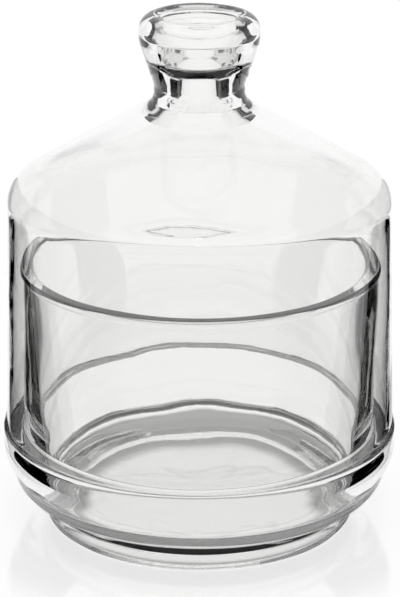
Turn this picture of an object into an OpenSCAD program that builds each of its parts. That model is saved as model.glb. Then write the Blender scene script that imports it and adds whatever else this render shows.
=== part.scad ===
// Two-piece glass keeper. A footed dish with an upright collar stands on the
// table, and a bell cover with a hollow knob drops over the collar and rests on
// the ledge round it. Both are round about the Z axis.
// Millimetres, +Z up, origin at the centre of the foot on the table.

/* [Cover] */
// Outside diameter of the cover at its lower edge
cover_d = 91.5; // [80:0.5:105]
// Wall of the cover's side
cover_wall = 1.2; // [1:0.1:2.5]
// Lean of the cover's side from upright, in degrees
cover_draft = 1.75; // [0.5:0.25:3]
// Free height from the collar's rim to the corner of the shoulder
headroom = 17.5; // [10:0.5:30]
// Slope of the roof from level, in degrees
roof_slope = 31.6; // [22:0.2:40]
// Thickness of the roof at the shoulder
roof_wall = 1.5; // [1:0.1:3]
// Outside radius of the bend between side and roof
shoulder_round = 6; // [4:0.5:9]
// Upright thickness of the roof at the foot of the knob, where it is thickest
crown_t = 6.2; // [5:0.1:8]
// Rounding where the roof's underside turns up into the neck
mouth_round = 6; // [3:0.5:12]
// Rounding of the cover's lower edge
cover_edge_round = 0.5; // [0.2:0.1:0.5]

/* [Knob] */
// Diameter of the neck at its narrowest
neck_d = 20.7; // [16:0.1:24]
// How far the neck spreads where it meets the crown
neck_spread = 0.65; // [0.2:0.05:1.5]
// Height of the narrowest part above the crown
neck_low = 1.7; // [1:0.1:3]
// Height above the crown at which the neck starts to widen
neck_high = 3.8; // [3.2:0.1:6]
// Rounding of the neck
neck_round = 3; // [1:0.5:5]
// Widest diameter of the knob
knob_d = 27.4; // [25.5:0.1:36]
// Height above the crown at which the knob is widest
knob_belly_h = 14.2; // [12:0.1:15.6]
// Rounding under the widest part
belly_round = 6; // [2:0.5:8]
// Height of the knob above the crown
knob_h = 19.9; // [19:0.1:26]
// Rounding of the knob's upper edge
knob_lip_round = 3.2; // [1:0.1:3.4]
// Width of the rim round the dish in the top
knob_rim_w = 3.6; // [3.5:0.1:6]
// Depth of the dish in the top
dish_depth = 1.5; // [0.5:0.1:3]
// Thickness of the glass under the middle of that dish
cap_t = 1.8; // [1.2:0.1:4]
// Wall of the knob at the top of its hollow
lip_wall = 2.1; // [1.8:0.1:4]
// How far the hollow's ceiling rises towards its edge
hollow_rise = 1; // [0.2:0.1:1.2]
// Rounding of the hollow's upper edge
hollow_top_round = 2; // [1:0.1:2.5]
// How far the hollow narrows from its top to its bend
hollow_taper = 3; // [1:0.1:4]
// Height of the hollow's bend above the crown
hollow_bend_h = 9.9; // [9:0.1:12]
// Rounding of the hollow's bend
hollow_bend_round = 2.2; // [1:0.1:4]
// Wall of the neck round its bore
neck_wall = 5.6; // [4.5:0.1:7]
// Height above the crown at which the bore widens into the hollow
bore_high = 7.8; // [6:0.1:8.6]
// Height above the crown at which the bore starts to flare downwards
bore_low = 1.9; // [0.8:0.1:3]
// Rounding at the upper end of the bore
bore_round = 1.6; // [1:0.1:3]
// Rounding at the lower end of the bore
flare_round = 2.4; // [1:0.1:4]
// Flare of the bore below the neck, from upright, in degrees
bore_flare = 36; // [30:0.2:46]

/* [Collar and bowl] */
// Height of the collar above the ledge
collar_h = 40; // [25:0.5:60]
// Gap between the roll at the collar's rim and the cover, at each side
rim_gap = 1.4; // [0.5:0.1:2]
// Gap between the foot of the collar and the cover, at each side
ledge_gap = 3.05; // [1.5:0.05:4]
// Wall of the collar at its rim, with the roll
rim_t = 3.2; // [2.4:0.1:4]
// How far the roll at the rim stands out from the collar
rim_roll = 0.5; // [0.2:0.1:1]
// Height of that roll
rim_roll_h = 1.8; // [1.2:0.1:3]
// Height of the roll's sloping underside
rim_roll_under = 0.6; // [0.3:0.1:0.8]
// Rounding of the roll's own edges
rim_roll_round = 0.6; // [0.2:0.1:0.8]
// Rounding of the rim's upper edges
rim_round = 0.7; // [0.3:0.1:1]
// Lean of the bowl's side from upright, in degrees
bowl_draft = 1.5; // [1:0.25:4]
// Radius of the bend between the bowl's side and floor
bowl_round = 10; // [5:0.5:14]
// Thickness of the floor
floor_t = 3.5; // [2.5:0.5:5]
// Fillet between ledge and collar
ledge_fillet = 0.6; // [0.2:0.1:0.9]

/* [Flange and foot] */
// How far the flange stands out past the cover
flange_out = 0.7; // [0.5:0.1:2]
// Upright height of the flange under the ledge
flange_side_h = 4.5; // [2.5:0.5:8]
// Rounding of the flange's upper edge
ledge_round = 1.2; // [0.6:0.1:1.2]
// Radius of the curve under the flange
bead_round = 10; // [6:0.5:14]
// How far the roll below the flange stands in
roll_in = 2.2; // [1:0.1:3.5]
// Radius of the roll
roll_round = 4.4; // [3:0.1:5]
// How far the foot stands in from the flange
foot_in = 9.8; // [9:0.1:14]
// Height of the foot below the roll
foot_h = 7.8; // [6.5:0.1:11]
// How far the foot's side leans out towards its top
foot_lean = 0.5; // [0:0.1:1]
// Fillet between foot and roll
foot_fillet = 1.2; // [0.5:0.1:1.6]
// Width of the ring that stands on the table
foot_ring_w = 4.6; // [3.5:0.1:7]
// Rounding of the ring's edges
foot_round = 0.9; // [0.3:0.1:1.4]
// Height of the hollow inside the ring
recess_h = 2.5; // [1.5:0.1:4]
// Lean of the hollow's side, as an inward step at its top
recess_step = 1.2; // [0.5:0.1:2]

/* [Hidden] */
$fn = 96;
// Chords along each rounded corner and along a long curve
corner_steps = 7;
curve_steps = 10;
glass = [0.88, 0.92, 0.91, 0.45];

// Radii of the cover, flange and foot
cover_r = cover_d / 2;
flange_r = cover_r + flange_out;
roll_r = flange_r - roll_in;
foot_r = flange_r - foot_in;
foot_top_r = foot_r + foot_lean;

// The curve under the flange starts where it meets the top of the roll
bead_angle = acos(1 - roll_in / bead_round);
bead_z = foot_h + roll_round + bead_round * sin(bead_angle);
ledge_h = bead_z + flange_side_h;
rim_h = ledge_h + collar_h;
floor_h = recess_h + floor_t;

// The collar stands inside the cover by a named gap at each end
function cover_in_r(z) = cover_r - cover_wall - (z - ledge_h) * tan(cover_draft);
rim_r = cover_in_r(rim_h) - rim_gap;
collar_foot_r = cover_in_r(ledge_h) - ledge_gap;
// The rim's roundings are limited by the wall and by the upright face of the roll
roll_face_h = rim_roll_h - rim_roll_under;
roll_lean = atan(rim_roll / rim_roll_under);
roll_slope_l = rim_roll_under / cos(roll_lean);
rim_fillet = min(rim_round, 0.46 * rim_t, 0.7 * roll_face_h);
roll_bend = tan(roll_lean / 2);
roll_fillet = min(rim_roll_round, 0.25 * roll_face_h / roll_bend, 0.45 * roll_slope_l / roll_bend);
function bowl_r(z) = rim_r - rim_t - (rim_h - z) * tan(bowl_draft);

// The side and the roof meet at the shoulder's corner, outside and inside
shoulder_h = rim_h + headroom;
shoulder_r = cover_r - (shoulder_h - ledge_h) * tan(cover_draft);
neck_r = neck_d / 2;
land_r = neck_r + neck_spread;
land_h = shoulder_h + (shoulder_r - land_r) * tan(roof_slope);
// The underside runs from one roof wall below the shoulder to the crown's underside
under_r = shoulder_r - roof_wall * sin(roof_slope);
under_h = shoulder_h - roof_wall * cos(roof_slope);
under_slope = (land_h - crown_t - under_h) / (under_r - land_r);
// Height of the underside if it ran on to the axis
apex_in_h = land_h - crown_t + land_r * under_slope;
side_base_in = cover_r - cover_wall + ledge_h * tan(cover_draft);
shoulder_in_r = (side_base_in - apex_in_h * tan(cover_draft)) / (1 - tan(cover_draft) * under_slope);
shoulder_in_h = apex_in_h - shoulder_in_r * under_slope;
shoulder_in_round = max(shoulder_round - roof_wall, 1);
// A little under half the wall at most, so that the two roundings of the lower edge fit
cover_edge_fillet = min(cover_edge_round, 0.46 * cover_wall);

// The bore goes on through the crown as a flare, as far as the underside
bore_r = neck_r - neck_wall;
flare_r = bore_r + bore_low * tan(bore_flare);
flare_fall = 1 / tan(bore_flare);
mouth_r = (land_h - apex_in_h + flare_r * flare_fall) / (flare_fall - under_slope);
mouth_h = apex_in_h - mouth_r * under_slope;
// The mouth's rounding is limited by the length of the flare
mouth_bend = (90 - bore_flare - atan(under_slope)) / 2;
mouth_fillet = min(mouth_round, 0.9 * (mouth_r - flare_r) / sin(bore_flare) / tan(mouth_bend));

// The dish in the knob's top is a shallow ball-shaped cap
knob_r = knob_d / 2;
knob_top = land_h + knob_h;
dish_r = knob_r - knob_rim_w;
dish_ball = (dish_r * dish_r + dish_depth * dish_depth) / (2 * dish_depth);
dish_angle = asin(dish_r / dish_ball);
hollow_top = knob_top - dish_depth - cap_t;
hollow_r = knob_r - lip_wall;
bend_r = hollow_r - hollow_taper;
// The lip's rounding ends before the dish starts
lip_fillet = min(knob_lip_round, 0.95 * knob_rim_w);

// The two roundings share the bore, and the lower one ends above the crown
bore_l = bore_high - bore_low;
bore_lean = atan((bend_r - bore_r) / (hollow_bend_h - bore_high));
bore_fillet = min(bore_round, 0.64 * bore_l / tan(bore_lean / 2));
flare_bend = tan(bore_flare / 2);
flare_l = bore_low / cos(bore_flare);
flare_fillet = min(flare_round, 0.34 * bore_l / flare_bend, 0.9 * flare_l / flare_bend);

function unit(v) = v / norm(v);
function angle_of(v) = atan2(v[1], v[0]);
// Smallest turn from one angle to another, between -180 and 180
function turn(from, to) = to - from - 360 * round((to - from) / 360);

// Points along an arc
function arc(centre, radius, from, by, steps) =
    [for (i = [0 : steps])
        let (a = from + by * i / steps)
        centre + radius * [cos(a), sin(a)]];

// Points of corner b between the lines to a and c, rounded where r is above 0
function corner(a, b, c, r) =
    r <= 0 ? [b] :
    let (u = unit(a - b),
         v = unit(c - b),
         half = acos(u * v) / 2,
         reach = r / tan(half),
         centre = b + unit(u + v) * r / sin(half),
         from = angle_of(b + u * reach - centre),
         to = angle_of(b + v * reach - centre))
    arc(centre, r, from, turn(from, to), corner_steps);

// Outline through a list of [radius, height, rounding]
function rounded(list) =
    [for (i = [0 : len(list) - 1])
        let (n = len(list),
             a = list[(i + n - 1) % n],
             b = list[i],
             c = list[(i + 1) % n])
        each corner([a[0], a[1]], [b[0], b[1]], [c[0], c[1]], b[2])];

module turned(outline) {
    rotate_extrude() polygon(outline);
}

module base_dish() {
    notch = min(foot_fillet, roll_r - foot_top_r - roll_round);
    bead = arc([flange_r - bead_round, bead_z], bead_round, -bead_angle, bead_angle, curve_steps);
    color(glass) turned(rounded([
        [0, recess_h, 0],
        [foot_r - foot_ring_w - recess_step, recess_h, foot_round],
        [foot_r - foot_ring_w, 0, foot_round],
        [foot_r, 0, foot_round],
        [foot_top_r, foot_h, notch],
        [roll_r, foot_h, roll_round],
        for (p = bead) [p[0], p[1], 0],
        [flange_r, ledge_h, ledge_round],
        [collar_foot_r, ledge_h, ledge_fillet],
        [rim_r - rim_roll, rim_h - rim_roll_h, roll_fillet],
        [rim_r, rim_h - roll_face_h, roll_fillet],
        [rim_r, rim_h, rim_fillet],
        [rim_r - rim_t, rim_h, rim_fillet],
        [bowl_r(floor_h), floor_h, bowl_round],
        [0, floor_h, 0]
    ]));
}

module cover_bell() {
    color(glass) turned(rounded([
        [flare_r, land_h, 0],
        [land_r, land_h, 0],
        [shoulder_r, shoulder_h, shoulder_round],
        [cover_r, ledge_h, cover_edge_fillet],
        [cover_r - cover_wall, ledge_h, cover_edge_fillet],
        [shoulder_in_r, shoulder_in_h, shoulder_in_round],
        [mouth_r, mouth_h, mouth_fillet]
    ]));
}

module knob() {
    side = rounded([
        [0, hollow_top, 0],
        [hollow_r, hollow_top + hollow_rise, hollow_top_round],
        [bend_r, land_h + hollow_bend_h, hollow_bend_round],
        [bore_r, land_h + bore_high, bore_fillet],
        [bore_r, land_h + bore_low, flare_fillet],
        [flare_r, land_h, 0],
        [land_r, land_h, 0],
        [neck_r, land_h + neck_low, neck_round / 2],
        [neck_r, land_h + neck_high, neck_round],
        [knob_r, land_h + knob_belly_h, belly_round],
        [knob_r, knob_top, lip_fillet],
        [dish_r, knob_top, 0]
    ]);
    dish = arc([0, knob_top - dish_depth + dish_ball], dish_ball, dish_angle - 90, -dish_angle, curve_steps);
    color(glass) turned(concat(side, [for (i = [1 : curve_steps]) dish[i]]));
}

base_dish();
cover_bell();
knob();
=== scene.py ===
import math

import bpy
import numpy as np
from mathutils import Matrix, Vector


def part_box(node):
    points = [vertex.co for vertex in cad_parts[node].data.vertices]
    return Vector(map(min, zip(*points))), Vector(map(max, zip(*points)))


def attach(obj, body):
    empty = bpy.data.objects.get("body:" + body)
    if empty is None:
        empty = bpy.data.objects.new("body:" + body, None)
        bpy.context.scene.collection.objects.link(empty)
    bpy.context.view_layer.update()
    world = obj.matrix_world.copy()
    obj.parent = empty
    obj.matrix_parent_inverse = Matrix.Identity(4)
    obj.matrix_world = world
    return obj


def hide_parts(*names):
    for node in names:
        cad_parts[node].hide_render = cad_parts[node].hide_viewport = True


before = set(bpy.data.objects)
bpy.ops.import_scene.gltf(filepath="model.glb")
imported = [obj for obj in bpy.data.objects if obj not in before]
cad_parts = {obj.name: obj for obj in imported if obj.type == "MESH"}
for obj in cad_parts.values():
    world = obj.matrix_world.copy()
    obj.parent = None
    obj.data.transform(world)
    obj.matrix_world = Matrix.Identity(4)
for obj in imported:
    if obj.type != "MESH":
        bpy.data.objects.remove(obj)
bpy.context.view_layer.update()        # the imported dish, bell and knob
mm = 0.001               # everything below is written in millimetres
print("frame loaded:", ", ".join(sorted(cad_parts)))


def inScene(name, data):
    made = bpy.data.objects.new(name, data)
    bpy.context.scene.collection.objects.link(made)
    return made


# Shader maths on sockets

class Wire:
    # one socket of a node tree; operators on it add Math nodes
    def __init__(self, tree, socket=None):
        self.tree = tree
        self.socket = socket

    def node(self, kind, settings=None, sockets=None, output=0):
        made = self.tree.nodes.new(kind)
        for name, value in (settings or {}).items():
            setattr(made, name, value)
        for name, value in (sockets or {}).items():
            self.plug(made.inputs[name], value)
        return Wire(self.tree, made.outputs[output] if made.outputs else None)

    def plug(self, target, value):
        if isinstance(value, Wire):
            self.tree.links.new(value.socket, target)
        else:
            target.default_value = value

    def maths(self, operation, first, second):
        return self.node("ShaderNodeMath", {"operation": operation}, {0: first, 1: second})

    def pick(self, output):
        return Wire(self.tree, self.socket.node.outputs[output])

    def __add__(self, other):
        return self.maths("ADD", self, other)

    def __mul__(self, other):
        return self.maths("MULTIPLY", self, other)

    __radd__ = __add__
    __rmul__ = __mul__

    def atLeast(self, other):
        return self.maths("MAXIMUM", self, other)

    def ramp(self, low, high, start, end):
        # smooth step from start to end while the value goes from low to high
        spans = {"Value": self, "From Min": low, "From Max": high, "To Min": start, "To Max": end}
        return self.node("ShaderNodeMapRange", {"interpolation_type": "SMOOTHSTEP"}, spans)


def newTree(owner):
    owner.use_nodes = True
    owner.node_tree.nodes.clear()
    return Wire(owner.node_tree)


# Outlines and surfaces of revolution

turning = {
    "sectors": 256,          # round each piece
    "cornerPoints": 9,       # along each rounding
    "curvePoints": 14,       # along the curve under the flange
    "capPoints": 12,         # along the dish in the knob's top
    "longest": 1.2,          # chord along an outline
    "samePlace": 1e-4,       # points closer than this are one point
}


def arcPoints(centre, radius, start, end, count):
    # points on a circle from one angle to another, in degrees
    angle = np.radians(np.linspace(start, end, count))
    return np.column_stack((centre[0] + radius * np.cos(angle), centre[1] + radius * np.sin(angle)))


def roundCorner(before, corner, after, radius):
    # the arc of the given radius that touches both lines that meet at the corner
    toBefore = (before - corner) / np.linalg.norm(before - corner)
    toAfter = (after - corner) / np.linalg.norm(after - corner)
    half = math.acos(np.clip(toBefore @ toAfter, -1, 1)) / 2
    middle = (toBefore + toAfter) / np.linalg.norm(toBefore + toAfter)
    centre = corner + middle * radius / math.sin(half)
    first = corner + toBefore * radius / math.tan(half) - centre
    last = corner + toAfter * radius / math.tan(half) - centre
    start = math.degrees(math.atan2(first[1], first[0]))
    turn = math.degrees(math.atan2(last[1], last[0])) - start
    turn -= 360 * round(turn / 360)
    return arcPoints(centre, radius, start, start + turn, turning["cornerPoints"])


def outlineOf(corners):
    # (radius, height, rounding) corners, in order, with each rounding made an arc
    points = np.array([corner[:2] for corner in corners], float)
    parts = [points[:1]]
    for i in range(1, len(points) - 1):
        rounding = corners[i][2]
        if rounding > 0:
            parts.append(roundCorner(points[i - 1], points[i], points[i + 1], rounding))
        else:
            parts.append(points[i:i + 1])
    parts.append(points[-1:])
    joined = np.concatenate(parts)
    # an arc that ends where the next one starts gives the same point twice; one is kept
    apart = np.linalg.norm(np.diff(joined, axis=0), axis=1) > turning["samePlace"]
    return joined[np.concatenate(([True], apart))]


def spaced(points, longest):
    # the same outline with long straight runs cut so that no chord passes the given length
    length = np.linalg.norm(np.diff(points, axis=0), axis=1)
    pieces = np.maximum(1, np.ceil(length / longest).astype(int))
    share = np.concatenate([np.arange(count) / count for count in pieces])
    start = np.repeat(np.arange(len(length)), pieces)
    cut = points[start] + (points[start + 1] - points[start]) * share[:, None]
    return np.concatenate((cut, points[-1:]))


def turnedSurface(name, corners, ripple):
    # radius = outline radius and height = outline height, both moved along the outline's
    # normal by a sum of cosines in the turn angle, each drifting along the outline
    outline = spaced(outlineOf(corners), turning["longest"])
    sectors = turning["sectors"]
    run = np.concatenate(([0], np.cumsum(np.linalg.norm(np.diff(outline, axis=0), axis=1))))
    slope = np.gradient(outline, run, axis=0)
    slope /= np.linalg.norm(slope, axis=1)[:, None]
    outward = np.column_stack((slope[:, 1], -slope[:, 0]))
    inner = slice(1, -1)     # the two ends of the outline are poles on the axis
    angle = np.linspace(0, 2 * math.pi, sectors, endpoint=False)
    fade = np.minimum(1, outline[inner, 0] / ripple["fadeRadius"])[:, None]
    rings = len(outline) - 2
    lift = np.zeros((rings, sectors))
    for waves, height, drift, phase in ripple["waves"]:
        lift += height * np.cos(waves * angle[None, :] + drift * run[inner, None] + phase)
    lift *= fade
    radius = outline[inner, 0:1] + lift * outward[inner, 0:1]
    height = outline[inner, 1:2] + lift * outward[inner, 1:2]
    grid = np.stack((radius * np.cos(angle), radius * np.sin(angle), height), axis=2)
    poles = np.array([(0, 0, outline[0, 1]), (0, 0, outline[-1, 1])])
    points = np.concatenate((grid.reshape(-1, 3), poles)) * mm

    index = np.arange(rings * sectors).reshape(rings, sectors)
    beside = np.roll(index, -1, axis=1)
    quads = np.stack((index[:-1], beside[:-1], beside[1:], index[1:]), axis=2).reshape(-1, 4)
    firstPole = np.full(sectors, rings * sectors)
    lastPole = firstPole + 1
    startFan = np.column_stack((firstPole, beside[0], index[0]))
    endFan = np.column_stack((lastPole, index[-1], beside[-1]))
    faces = quads.tolist() + startFan.tolist() + endFan.tolist()

    mesh = bpy.data.meshes.new(name)
    mesh.from_pydata(points.tolist(), [], faces)
    mesh.polygons.foreach_set("use_smooth", np.ones(len(faces), bool))
    mesh.update()
    print(name, len(points), "points", len(faces), "faces")
    return inScene(name, mesh)


# Driving sizes read off the frame, in millimetres

def boxOf(node):
    return np.array(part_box(node)) / mm


dishHigh = boxOf("base_dish")[1]
bellLow, bellHigh = boxOf("cover_bell")
knobHigh = boxOf("knob")[1]
flangeR, rimZ = dishHigh[0], dishHigh[2]
coverR, ledgeZ, landZ = bellHigh[0], bellLow[2], bellHigh[2]
knobR, knobTopZ = knobHigh[0], knobHigh[2]


# Bell cover of thin glass, with its hollow knob

cover = {
    "wall": 1.2,
    "lean": 1.75,            # side from upright, degrees
    "roofSlope": 31.6,       # from level, degrees
    "roofWall": 1.5,         # at the shoulder
    "crownThick": 6.2,       # upright, at the foot of the knob
    "shoulderRound": 6,
    "mouthRound": 6,         # underside turning up into the neck
    "edgeRound": 0.5,
    "restLift": 0.04,        # hair of air under the lower edge
    "landRound": 0.8,        # roof turning up into the neck
    "neckSpread": 0.65,
    "neckR": 10.35,
    "neckLow": 1.7,
    "neckHigh": 3.8,
    "neckRound": 3,
    "bellyH": 14.2,
    "bellyRound": 6,
    "lipRound": 3.2,
    "knobRim": 3.6,
    "dishDepth": 1.5,        # dish in the knob's top
    "capThick": 1.8,         # glass under the middle of that dish
    "lipWall": 2.1,          # knob's wall at the top of its hollow
    "hollowRise": 1,         # hollow's ceiling towards its edge
    "hollowRound": 2,
    "hollowTaper": 3,        # from the hollow's top to its bend
    "bendH": 9.9,
    "bendRound": 2.2,
    "neckWall": 5.6,
    "boreHigh": 7.8,
    "boreLow": 1.9,
    "boreRound": 1.6,        # at the bore's upper end
    "flareRound": 2.4,       # at its lower end
    "boreFlare": 36,         # from upright, degrees
    "wearHigh": 0.9,         # rubbed part of the lower edge
    "ripple": {
        "fadeRadius": 20,
        # waves round the piece, height, drift along the outline, phase
        "waves": [(2, 0.06, 0.03, 1.1), (5, 0.035, 0.09, 0.2), (9, 0.015, 0.17, 2.3)],
    },
}


def coverInsideR(z):
    return coverR - cover["wall"] - (z - ledgeZ) * math.tan(math.radians(cover["lean"]))


def coverCorners():
    slope = math.tan(math.radians(cover["roofSlope"]))
    lean = math.tan(math.radians(cover["lean"]))
    landR = cover["neckR"] + cover["neckSpread"]
    lowZ = ledgeZ + cover["restLift"]
    # outside corner where the leaning side meets the roof
    shoulderR = (coverR + (ledgeZ - landZ - landR * slope) * lean) / (1 - slope * lean)
    shoulderZ = landZ + (landR - shoulderR) * slope
    # the underside runs from one roof wall below that corner to the crown's underside
    underR = shoulderR - cover["roofWall"] * math.sin(math.radians(cover["roofSlope"]))
    underZ = shoulderZ - cover["roofWall"] * math.cos(math.radians(cover["roofSlope"]))
    slopeIn = (landZ - cover["crownThick"] - underZ) / (underR - landR)
    apexIn = underZ + underR * slopeIn
    sideIn = coverR - cover["wall"] + ledgeZ * lean
    shoulderInR = (sideIn - apexIn * lean) / (1 - slopeIn * lean)
    shoulderInZ = apexIn - shoulderInR * slopeIn
    # the bore flares out below the neck until it meets the underside
    boreR = cover["neckR"] - cover["neckWall"]
    boreLowZ = landZ + cover["boreLow"]
    fall = 1 / math.tan(math.radians(cover["boreFlare"]))
    mouthR = (boreLowZ + boreR * fall - apexIn) / (fall - slopeIn)
    hollowTopZ = knobTopZ - cover["dishDepth"] - cover["capThick"]
    hollowR = knobR - cover["lipWall"]
    # the dish in the knob's top is a shallow piece of a ball
    topR = knobR - cover["knobRim"]
    ball = (topR ** 2 + cover["dishDepth"] ** 2) / (2 * cover["dishDepth"])
    ballZ = knobTopZ - cover["dishDepth"] + ball
    ballAngle = math.degrees(math.asin(topR / ball))
    topDish = arcPoints((0, ballZ), ball, ballAngle - 90, -90, turning["capPoints"])
    return [
        (0, hollowTopZ, 0),
        (hollowR, hollowTopZ + cover["hollowRise"], cover["hollowRound"]),
        (hollowR - cover["hollowTaper"], landZ + cover["bendH"], cover["bendRound"]),
        (boreR, landZ + cover["boreHigh"], cover["boreRound"]),
        (boreR, boreLowZ, cover["flareRound"]),
        (mouthR, apexIn - mouthR * slopeIn, cover["mouthRound"]),
        (shoulderInR, shoulderInZ, cover["shoulderRound"] - cover["roofWall"]),
        (coverR - cover["wall"], lowZ, cover["edgeRound"]),
        (coverR, lowZ, cover["edgeRound"]),
        (shoulderR, shoulderZ, cover["shoulderRound"]),
        (landR, landZ, cover["landRound"]),
        (cover["neckR"], landZ + cover["neckLow"], cover["neckRound"] / 2),
        (cover["neckR"], landZ + cover["neckHigh"], cover["neckRound"]),
        (knobR, landZ + cover["bellyH"], cover["bellyRound"]),
        (knobR, knobTopZ, cover["lipRound"]),
        *((r, z, 0) for r, z in topDish),
    ]


# Dish of pressed glass

dish = {
    "rimWall": 3.2,          # collar at its rim, with the roll
    "rimRound": 0.7,
    "rimRoll": 0.5,          # roll of the rim stands out from the collar
    "rollHigh": 1.8,         # height of that roll
    "rollUnder": 0.6,        # of which its underside takes up
    "rollEdge": 0.6,         # rounding of that roll
    "rimGap": 1.4,           # roll to cover
    "ledgeGap": 3.05,        # collar to cover at the ledge
    "ledgeFillet": 0.6,      # collar to ledge
    "ledgeRound": 1.2,       # flange's upper edge
    "bowlLean": 1.5,         # bowl's side from upright, degrees
    "bowlRound": 10,         # bend from side to floor
    "floorZ": 6.0,
    "recessZ": 2.5,          # hollow inside the foot ring
    "recessStep": 1.2,
    "footIn": 9.8,           # foot stands in from the flange
    "footLean": 0.5,
    "footRing": 4.6,
    "footRound": 0.9,        # edges of the ring
    "footFillet": 1.2,       # foot to roll
    "rollIn": 2.2,           # roll stands in from the flange
    "rollRound": 4.4,
    "beadRound": 10,         # curve under the flange
    "flangeSide": 4.5,       # upright part of the flange
    "wearHigh": 1.2,         # rubbed part of the foot
    "ripple": {
        "fadeRadius": 20,
        # waves round the piece, height, drift along the outline, phase
        "waves": [(3, 0.05, 0.05, 0.4), (7, 0.03, 0.11, 1.9), (13, 0.012, 0.23, 0.7)],
    },
}


def dishCorners():
    rimR = coverInsideR(rimZ) - dish["rimGap"]
    collarFootR = coverInsideR(ledgeZ) - dish["ledgeGap"]
    collarTopR = rimR - dish["rimRoll"]
    rollZ = rimZ - dish["rollHigh"]
    footR = flangeR - dish["footIn"]
    rollR = flangeR - dish["rollIn"]
    # the curve under the flange starts where it meets the top of the roll
    bead = dish["beadRound"]
    beadAngle = math.degrees(math.acos(1 - dish["rollIn"] / bead))
    beadZ = ledgeZ - dish["flangeSide"]
    footH = beadZ - bead * math.sin(math.radians(beadAngle)) - dish["rollRound"]
    curve = arcPoints((flangeR - bead, beadZ), bead, -beadAngle, 0, turning["curvePoints"])
    ringIn = footR - dish["footRing"]
    bowlLean = math.tan(math.radians(dish["bowlLean"]))
    bowlFootR = rimR - dish["rimWall"] - (rimZ - dish["floorZ"]) * bowlLean
    return [
        (0, dish["recessZ"], 0),
        (ringIn - dish["recessStep"], dish["recessZ"], dish["footRound"]),
        (ringIn, 0, dish["footRound"]),
        (footR, 0, dish["footRound"]),
        (footR + dish["footLean"], footH, dish["footFillet"]),
        (rollR, footH, dish["rollRound"]),
        *((r, z, 0) for r, z in curve),
        (flangeR, ledgeZ, dish["ledgeRound"]),
        (collarFootR, ledgeZ, dish["ledgeFillet"]),
        (collarTopR, rollZ, dish["rollEdge"]),
        (rimR, rollZ + dish["rollUnder"], dish["rollEdge"]),
        (rimR, rimZ, dish["rimRound"]),
        (rimR - dish["rimWall"], rimZ, dish["rimRound"]),
        (bowlFootR, dish["floorZ"], dish["bowlRound"]),
        (0, dish["floorZ"], 0),
    ]


dishGlass = turnedSurface("dish_glass", dishCorners(), dish["ripple"])
coverGlass = turnedSurface("cover_glass", coverCorners(), cover["ripple"])
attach(dishGlass, "base")
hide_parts("base_dish")
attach(coverGlass, "cover")
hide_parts("cover_bell", "knob")


# Clear glass

clearGlass = {
    "index": 1.5,
    "tint": (0.96, 0.959, 0.954, 1),
    "absorb": (0.6, 0.85, 0.75, 1),
    "density": 1.5,
    "rippleScale": 70,       # slow waves of fire polished glass
    "rippleDetail": 2,
    "rippleDepth": 0.00005,  # metres
    "grainScale": 350,       # finer unevenness on top of them
    "grainDetail": 3,
    "grainShare": 0.06,
    "speckScale": 1500,      # specks where an edge is rubbed dull
    "speckDetail": 3,
    "speckFrom": 0.45,       # noise at which a speck starts
    "speckTo": 0.6,          # and at which it is whole
    "speckRough": 0.3,
    "clearRough": 0.004,
}


def glassMaterial(name, look, edgeZ, wearHigh):
    # clear all over, and dull in specks from the edge it stands on up to the wear height
    material = bpy.data.materials.new(name)
    tree = newTree(material)
    place = tree.node("ShaderNodeTexCoord", output="Object")

    def noise(kind):
        values = {"Vector": place, "Scale": look[kind + "Scale"], "Detail": look[kind + "Detail"]}
        return tree.node("ShaderNodeTexNoise", {}, values)

    uneven = noise("ripple") + noise("grain") * look["grainShare"]
    relief = {"Height": uneven, "Distance": look["rippleDepth"], "Strength": 1.0}
    bump = tree.node("ShaderNodeBump", {}, relief)
    speck = noise("speck").ramp(look["speckFrom"], look["speckTo"], 0.0, 1.0)
    height = tree.node("ShaderNodeSeparateXYZ", {}, {0: place}, "Z")
    rubbed = height.ramp(edgeZ * mm, (edgeZ + wearHigh) * mm, look["speckRough"], 0.0)
    surface = tree.node("ShaderNodeBsdfPrincipled", {}, {
        "Base Color": look["tint"],
        "Roughness": rubbed * speck + look["clearRough"],
        "IOR": look["index"],
        "Transmission Weight": 1.0,
        "Normal": bump,
    })
    depth = {"Color": look["absorb"], "Density": look["density"]}
    body = tree.node("ShaderNodeVolumeAbsorption", {}, depth)
    tree.node("ShaderNodeOutputMaterial", {}, {"Surface": surface, "Volume": body})
    return material


dishGlass.data.materials.append(glassMaterial("pressed_glass", clearGlass, 0, dish["wearHigh"]))
coverGlass.data.materials.append(glassMaterial("bell_glass", clearGlass, ledgeZ, cover["wearHigh"]))
print("glass ready")


# Camera, from circles of known size in the view

lens = {
    "focal": 147.7,
    "sensor": 36,            # along the picture's height
    "distance": 573,
    "pitch": 20.7,           # degrees below level
    "aimZ": 52.6,
    "aimX": 0.1,
}
pitch = math.radians(lens["pitch"])
cameraData = bpy.data.cameras.new("camera")
cameraData.lens = lens["focal"]
cameraData.sensor_width = lens["sensor"]
camera = inScene("camera", cameraData)
camera.location = (
    lens["aimX"] * mm,
    -lens["distance"] * math.cos(pitch) * mm,
    (lens["aimZ"] + lens["distance"] * math.sin(pitch)) * mm,
)
camera.rotation_euler = (math.radians(90) - pitch, 0, 0)
bpy.context.scene.camera = camera


# Floor, light and dark cards

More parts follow.
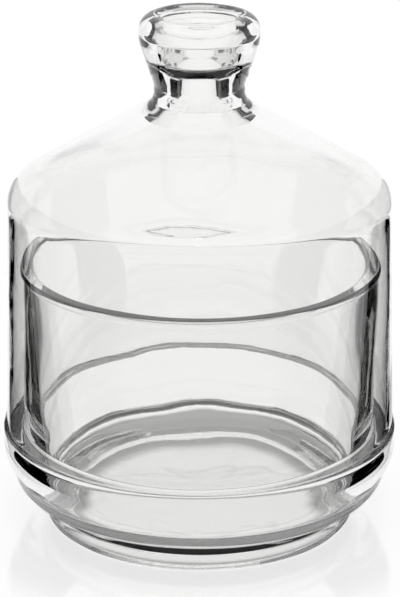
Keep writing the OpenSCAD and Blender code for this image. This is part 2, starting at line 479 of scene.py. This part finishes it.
studio = {
    "floorHalf": 3000,
    "floorTone": 0.9,        # diffuse white
    "floorGlow": 0.88,       # share of plain white that the lens sees
    "floorMirror": 0.14,     # polish
    "floorRough": 0.12,
    "polishNear": 52,        # polish shows whole within this distance of the axis
    "polishFar": 68,         # and is gone at this one
    "floorInGlass": 0.75,    # share of plain white as glass shows the floor
    "shadeInGlass": 0.08,    # and in a ring round the foot, a painted shade: the floor set darker there as glass shows it
    "shadeIn": (25, 30),     # inner edge of that ring, soft
    "shadeOut": (43, 50),    # outer edge
    "fill": 0.6,             # white surroundings, as matt surfaces see them
    # by reach from lens to jar, in the main view and in the turned ones:
    # low, high, half the lane between them, near end, far end, whether reflections show them
    "cards": {
        573: [(-75, 20, 66, -8, 50, True), (30, 120, 80, -60, 130, False)],
        1126: [(-75, 130, 66, -8, 50, True), (30, 120, 80, -60, 130, False)],
    },
    "softAngle": 30,         # width of the overhead light, degrees
    "softPower": 1.6,
    "glintHigh": 1200,
    "glintSize": 25,
    "glintPower": 0.1,
}
white = (1, 1, 1, 1)
black = (0, 0, 0, 1)


def rayKinds(tree):
    path = tree.node("ShaderNodeLightPath")
    seenByLens = path.pick("Is Camera Ray")
    seenInGlass = path.pick("Is Glossy Ray").atLeast(path.pick("Is Transmission Ray"))
    return seenByLens, seenInGlass


def stageSheet(name, corners, material):
    # one flat face through four corners
    mesh = bpy.data.meshes.new(name)
    mesh.from_pydata([tuple(p * mm for p in corner) for corner in corners], [], [(0, 1, 2, 3)])
    mesh.materials.append(material)
    sheet = inScene(name, mesh)
    return sheet


def floorMaterial():
    material = bpy.data.materials.new("floor")
    tree = newTree(material)
    seenByLens, seenInGlass = rayKinds(tree)
    matt = tree.node("ShaderNodeBsdfDiffuse", {}, {"Color": (studio["floorTone"],) * 3 + (1,)})
    glow = tree.node("ShaderNodeEmission", {}, {"Color": white, "Strength": 1.0})
    gloss = {"Color": white, "Roughness": studio["floorRough"]}
    mirror = tree.node("ShaderNodeBsdfGlossy", {}, gloss)
    place = tree.node("ShaderNodeTexCoord", output="Object")
    away = tree.node("ShaderNodeVectorMath", {"operation": "LENGTH"}, {0: place}, "Value")

    def ring(edge, start, end):
        return away.ramp(edge[0] * mm, edge[1] * mm, start, end)

    polish = ring((studio["polishNear"], studio["polishFar"]), studio["floorMirror"], 0.0)
    # painted shade: as glass shows it, the floor is darker in a ring round the foot; the ring is
    # set in this material by distance from the axis, not cast by the jar
    lit, shade = studio["floorInGlass"], studio["shadeInGlass"]
    inGlass = ring(studio["shadeIn"], lit, shade) + ring(studio["shadeOut"], 0.0, lit - shade)
    share = (seenByLens * studio["floorGlow"]).atLeast(seenInGlass * inGlass)
    plain = tree.node("ShaderNodeMixShader", {}, {0: share, 1: matt, 2: glow})
    polished = tree.node("ShaderNodeMixShader", {}, {0: seenByLens * polish, 1: plain, 2: mirror})
    tree.node("ShaderNodeOutputMaterial", {}, {"Surface": polished})
    return material


def cardMaterial():
    material = bpy.data.materials.new("card")
    tree = newTree(material)
    dark = tree.node("ShaderNodeEmission", {}, {"Color": black, "Strength": 0.0})
    tree.node("ShaderNodeOutputMaterial", {}, {"Surface": dark})
    return material


half = studio["floorHalf"]
floorCorners = [(-half, -half, 0), (half, -half, 0), (half, half, 0), (-half, half, 0)]
stageSheet("floor", floorCorners, floorMaterial())

# Black cards stand left and right of the jar just outside the picture, along the line of
# sight. They go with the lens, and only glass shows them.
card = cardMaterial()
for reach, cards in studio["cards"].items():
    for side in (-1, 1):
        for low, high, out, near, far, mirrored in cards:
            x, nearZ, farZ = side * out, -reach - near, -reach - far
            corners = [(x, low, nearZ), (x, low, farZ), (x, high, farZ), (x, high, nearZ)]
            sheet = stageSheet("card", corners, card)
            sheet.parent = camera
            sheet.visible_camera = False
            sheet.visible_glossy = mirrored
            sheet.visible_diffuse = False
            sheet.visible_shadow = False

world = bpy.data.worlds.new("studio")
bpy.context.scene.world = world
sky = newTree(world)
seenByLens, seenInGlass = rayKinds(sky)
seen = seenByLens.atLeast(seenInGlass)
strength = studio["fill"] + seen * (1 - studio["fill"])
background = sky.node("ShaderNodeBackground", {}, {"Color": white, "Strength": strength})
sky.node("ShaderNodeOutputWorld", {}, {"Surface": background})

# A wide soft light from straight above, and a small lamp that only gives glints
softData = bpy.data.lights.new("softbox", "SUN")
softData.angle = math.radians(studio["softAngle"])
softData.energy = studio["softPower"]
glintData = bpy.data.lights.new("glint", "AREA")
glintData.shape = "DISK"
glintData.size = studio["glintSize"] * mm
glintData.energy = studio["glintPower"]
for lampData in (softData, glintData):
    lamp = inScene(lampData.name, lampData)
    lamp.location = (0, 0, studio["glintHigh"] * mm)
    lamp.visible_glossy = lampData is glintData
    lamp.visible_transmission = lampData is glintData

bpy.context.scene.view_settings.view_transform = "Standard"
print("studio ready")
